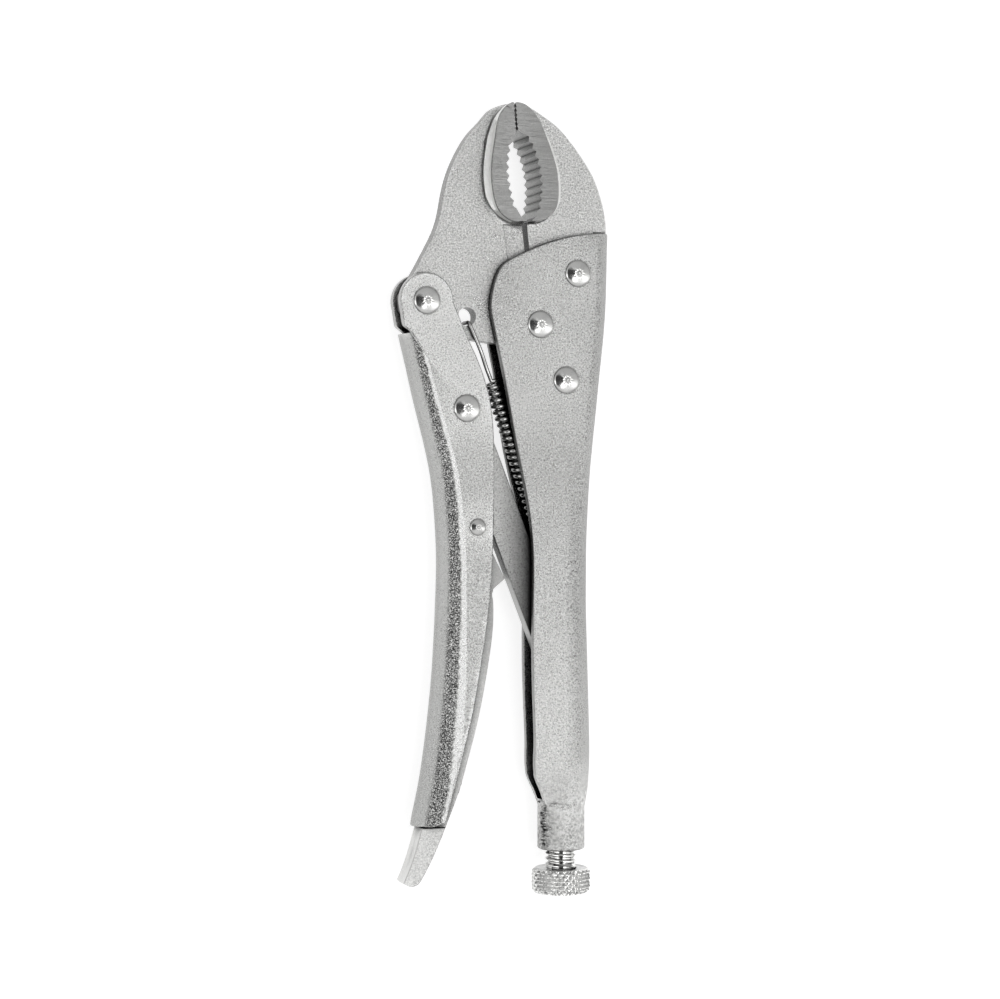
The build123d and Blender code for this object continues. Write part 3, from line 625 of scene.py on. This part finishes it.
def draw_out_back_flange(bm):
    """Beside the spring the back flange of the fixed handle runs a little further out than the front one."""
    middle = (FLANGE_FROM + FLANGE_TO) / 2
    for v in bm.verts:
        x, y, z = v.co / MM
        if z < 7.0 and FLANGE_FROM < y < FLANGE_TO and x < 8.2 - 0.205 * y:
            v.co.x -= FLANGE_REACH * math.cos(math.pi * (y - middle) / (FLANGE_TO - FLANGE_FROM)) ** 2


def is_collar_foot(face):
    """Upright wall between the plate and the top of the collar's step."""
    heights = [abs(v.co.z - MID) for v in face.verts]
    return (abs(face.normal.z) < 0.3
            and PLATE_HALF - COLLAR_SLACK < min(heights) < COLLAR_STEP - 0.5 * MM
            and max(heights) > PLATE_HALF + 0.5 * MM)


def slope_collar(bm):
    """Draws out the foot of the raised head, so that its wall leans back above a short upright step."""
    for side in (-1, 1):
        bmesh.ops.bisect_plane(bm, geom=bm.verts[:] + bm.edges[:] + bm.faces[:], dist=1e-7,
                               plane_co=(0, 0, MID + side * COLLAR_STEP), plane_no=(0, 0, 1))
    bm.normal_update()
    moves = {}
    for v in bm.verts:
        in_step = PLATE_HALF - COLLAR_SLACK < abs(v.co.z - MID) < COLLAR_STEP + COLLAR_SLACK
        if not in_step or not COLLAR_FROM < v.co.y < COLLAR_TO:
            continue
        foot = [face for face in v.link_faces if is_collar_foot(face)]
        if foot:
            out = sum((face.normal for face in foot), Vector())
            fade = min(1.0, (v.co.y - COLLAR_FROM) / COLLAR_FADE_IN, (COLLAR_TO - v.co.y) / COLLAR_FADE_OUT)
            moves[v] = Vector((out.x, out.y, 0)).normalized() * COLLAR_LEAN * fade
    for v, move in moves.items():
        v.co += move


# Rivets

def make_rivet(node, material):
    """Headed rivet: low dome with a rolled rim and the star mark of the setting punch."""
    body, x, y, (head, grip, rise, shank) = RIVETS[node]
    upper = [(r * head, grip + z * rise) for r, z in RIVET_DOME]
    side = upper + [(shank, grip), (shank, -grip)] + [(r, -z) for r, z in reversed(upper)]
    bm = bmesh.new()
    turned(bm, [(x * MM + r * MM, y * MM, MID + z * MM) for r, z in side],
           Vector((x * MM, y * MM, MID)), (0, 0, 1), RIVET_STEPS)
    for v in bm.verts:
        dx, dy = v.co.x - x * MM, v.co.y - y * MM
        out = math.hypot(dx, dy) / (head * MM)
        if 0.02 < out < STAR_REACH and abs(v.co.z - MID) > grip * MM:
            lobe = math.cos(STAR_LOBES * math.atan2(dy, dx) + x) * math.sin(math.pi * out / STAR_REACH)
            v.co.z += math.copysign(STAR_DEPTH * rise * MM * lobe, v.co.z - MID)
    finish_piece(bm, "set_" + node, material, body, node, 60.0)


# Adjusting screw

def on_screw(side):
    """Side line of the screw, from pairs of radius and height."""
    return [(SCREW_X + r, y, MID) for r, y in side]


def screw_thread(bm):
    """Rolled thread: a zigzag side line, wound once round the axis while it drops one pitch."""
    turns = int((SHANK_TOP - KNOB_TOP - 0.6 * MM) / PITCH)
    form = ((0.0, ROOT), (0.12, ROOT), (0.44, CREST), (0.56, CREST), (0.88, ROOT))
    side = [(r, SHANK_TOP - (turn + part) * PITCH) for turn in range(turns) for part, r in form]
    bmesh.ops.spin(bm, geom=side_line(bm, on_screw(side)), cent=SCREW_AXIS, axis=(0, 1, 0),
                   dvec=(0, -PITCH / SHANK_STEPS, 0), angle=2 * math.pi, steps=SHANK_STEPS, use_merge=False)


def knurled_head(bm):
    """Head turned from a side line with rounded corners, then rolled with crossing grooves."""
    inner = KNOB_R - KNOB_CORNER
    high, low = KNOB_TOP - KNOB_CORNER, KNOB_END + KNOB_CORNER
    quarter = [math.radians(90 * i / CORNER_STEPS) for i in range(CORNER_STEPS + 1)]
    side = [(0.0, KNOB_TOP), (4.6 * MM, KNOB_TOP), (5.4 * MM, KNOB_TOP - 0.25 * MM),
            (inner - 0.5 * MM, KNOB_TOP - 0.15 * MM)]
    side += [(inner + KNOB_CORNER * math.sin(a), high + KNOB_CORNER * math.cos(a)) for a in quarter]
    side += [(KNOB_R, high + (low - high) * i / KNOB_ROWS) for i in range(1, KNOB_ROWS)]
    side += [(inner + KNOB_CORNER * math.cos(a), low - KNOB_CORNER * math.sin(a)) for a in quarter]
    side += [(5.5 * MM, KNOB_END), (4.9 * MM, KNOB_END + KNOB_DIMPLE), (0.0, KNOB_END + KNOB_DIMPLE)]
    turned(bm, on_screw(side), SCREW_AXIS, (0, 1, 0), KNURLS * STEPS_PER_KNURL)
    rise = KNURL_STEEPNESS * 2 * math.pi * KNOB_R / KNURLS
    for v in bm.verts:
        dx, dz = v.co.x - SCREW_X, v.co.z - MID
        r = math.hypot(dx, dz)
        if r < KNOB_R - KNURL_RIM:
            continue
        turn = math.atan2(dz, dx) / (2 * math.pi) * KNURLS
        along = (v.co.y - KNOB_TOP) / rise
        u, w = (turn + along) % 1.0, (turn - along) % 1.0
        tooth = min(1.0, KNURL_FLANK * min(u, 1 - u, w, 1 - w))
        fade = min(1.0, (r - KNOB_R + KNURL_RIM) / KNURL_FADE)
        cut = KNURL_DEPTH * (1 - tooth) * fade
        v.co.x -= dx / r * cut
        v.co.z -= dz / r * cut


def make_screw(material):
    bm = bmesh.new()
    knurled_head(bm)
    screw_thread(bm)
    stub = ROOT + 0.02 * MM
    tip = [(0, SHANK_TOP + 1.2 * MM), (3.2 * MM, SHANK_TOP + 1.2 * MM), (stub, SHANK_TOP + 0.3 * MM),
           (stub, SHANK_TOP - 2.0 * MM)]
    neck = [(stub, KNOB_TOP + 1.5 * MM), (NECK_R, KNOB_TOP + 0.5 * MM), (NECK_R, KNOB_TOP - 0.3 * MM)]
    for side in (tip, neck):
        turned(bm, on_screw(side), SCREW_AXIS, (0, 1, 0), SHANK_STEPS)
    finish_piece(bm, "knurled_adjusting_screw", material, "screw", "adjusting_screw", 40.0)


# Return spring

def make_spring(material):
    """Spring wire, merged and smoothed."""
    bm = bmesh.new()
    bm.from_mesh(nodes["return_spring"].data)
    piece = finish_piece(bm, "coiled_return_spring", material, None, "return_spring", 50.0)
    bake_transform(piece)


# Weld and crease on the tube

def lay_bead(name, material, rows, cols, spot):
    """Lumpy strip on the tube; spot gives the angle from its left side, the height in Y and the rise."""
    bm = bmesh.new()
    bmesh.ops.create_grid(bm, x_segments=cols, y_segments=rows, size=0.5)
    for v in bm.verts:
        angle, y, rise = spot(v.co.y + 0.5, v.co.x + 0.5)
        r = TUBE_R + rise * MM
        v.co = Vector((SCREW_X - r * math.cos(angle), y * MM, MID + r * math.sin(angle)))
    finish_piece(bm, name, material, "frame", None, 60.0)


def run_out(t):
    """Lets a bead sink into the tube at both ends."""
    return min(1.0, 8 * t, 8 * (1 - t))


def weld_spot(t, u):
    """Weld that closes the rolled tube down its left side; t runs down it, u across it."""
    k = WELD_LENGTH * t
    wander = 5.0 * math.sin(0.9 * k) + 3.0 * math.sin(2.3 * k + 1.0)
    spread = 1.0 + 0.25 * math.sin(1.7 * k + 0.5) + 0.2 * math.sin(4.1 * k)
    angle = math.radians(WELD_ANGLE + wander) + (u - 0.5) * spread * WELD_WIDTH
    lump = (0.34 + 0.30 * math.sin(3.9 * k + 2.2 * u) + 0.22 * math.sin(7.3 * k - 3.0 * u)
            + 0.14 * math.sin(13.0 * k + 9.0 * u))
    rise = math.sin(math.pi * u) ** 0.8 * lump - 0.06
    return angle, WELD_TOP - k, rise * run_out(t)


def crease_spot(t, u):
    """Ragged crease where the pressed handle turns into the tube; t runs along it, u across it."""
    angle = math.radians(CREASE_FROM + CREASE_TURN * t)
    bend = 0.45 * math.sin(9.0 * t) + 0.25 * math.sin(23.0 * t + 1.0)
    lump = 0.16 + 0.14 * math.sin(31.0 * t) + 0.10 * math.sin(67.0 * t + 2.0 * u)
    rise = math.sin(math.pi * u) * lump - 0.05
    return angle, CREASE_AT + bend + (u - 0.5) * CREASE_WIDTH, rise * run_out(t)


place_camera()
lay_table()
light_room()

# the lever handle gets a painted highlight and painted glints on its bends
bent_plate = satin_plating("satin_plated_sheet_bent", level=0.66, stretched=0.92)
welded_plate = satin_plating("satin_plated_sheet_with_heated_tube", sides=0.46, heated=True)
# the trigger gets painted shade across its flat face and along its tail's edge
trigger_plate = satin_plating("matte_plated_trigger", level=0.72, rough=0.48, speckle=0.20, grain=0.5,
                              seam=(4.0, 0.55, 0.98, 0.25), sides=1.0,
                              shade_across=(-7 * MM, -1 * MM, 1.0, 0.55), tail_shade=True)
# the link gets painted shade across it, darkest where it runs under the fixed handle
link_plate = satin_plating("satin_plated_link", level=0.66, rough=0.31, speckle=0.26, grain=0.8, sides=0.7,
                           shade_across=(-6 * MM, 9.5 * MM, 0.9, 0.05))
weld_metal = satin_plating("rough_weld_bead", level=0.85, rough=0.20, speckle=0.26, pits=(0.54, 0.05),
                           seam=(0.8, 0.4, 0.9, 0.10))
jaw_steel = jaw_finish("plated_jaw_ground_head")
rivet_steel = bright_metal("bright_rivet", level=0.80, rough=0.12, seam=(1.0, 0.50, 0.92, 0.08))
screw_steel = bright_metal("bright_screw", level=0.96, rough=0.10, seam=(0.8, 0.46, 0.90, 0.0))
wire_steel = bright_metal("spring_wire", level=0.62, rough=0.22, seam=(1.6, 0.25, 0.80, 0.12))

eased_edges("fixed_handle", "pressed_fixed_handle", welded_plate, "frame", 0.45 * MM,
            at_handle_bottom, (join_flats, draw_out_back_flange))
eased_edges("lever_handle", "pressed_lever_handle", bent_plate, "lever", 0.45 * MM,
            at_ear_root, (join_flats,))
eased_edges("release_lever", "pressed_release_lever", trigger_plate, "trigger", 0.30 * MM,
            at_thumb_pad, (join_flats,))
eased_edges("fixed_jaw", "forged_fixed_jaw", jaw_steel, "frame", 0.25 * MM,
            at_mouth, (slope_collar,))
eased_edges("moving_jaw", "forged_moving_jaw", jaw_steel, "jaw", 0.25 * MM,
            at_mouth, (slope_collar,))
nodes["toggle_link"].data.materials.clear()
nodes["toggle_link"].data.materials.append(link_plate)
for node in RIVETS:
    make_rivet(node, rivet_steel)
make_screw(screw_steel)
make_spring(wire_steel)
lay_bead("tube_weld_seam", weld_metal, rows=120, cols=18, spot=weld_spot)
lay_bead("tube_crease", weld_metal, rows=90, cols=8, spot=crease_spot)

bpy.context.scene.view_settings.view_transform = "Standard"
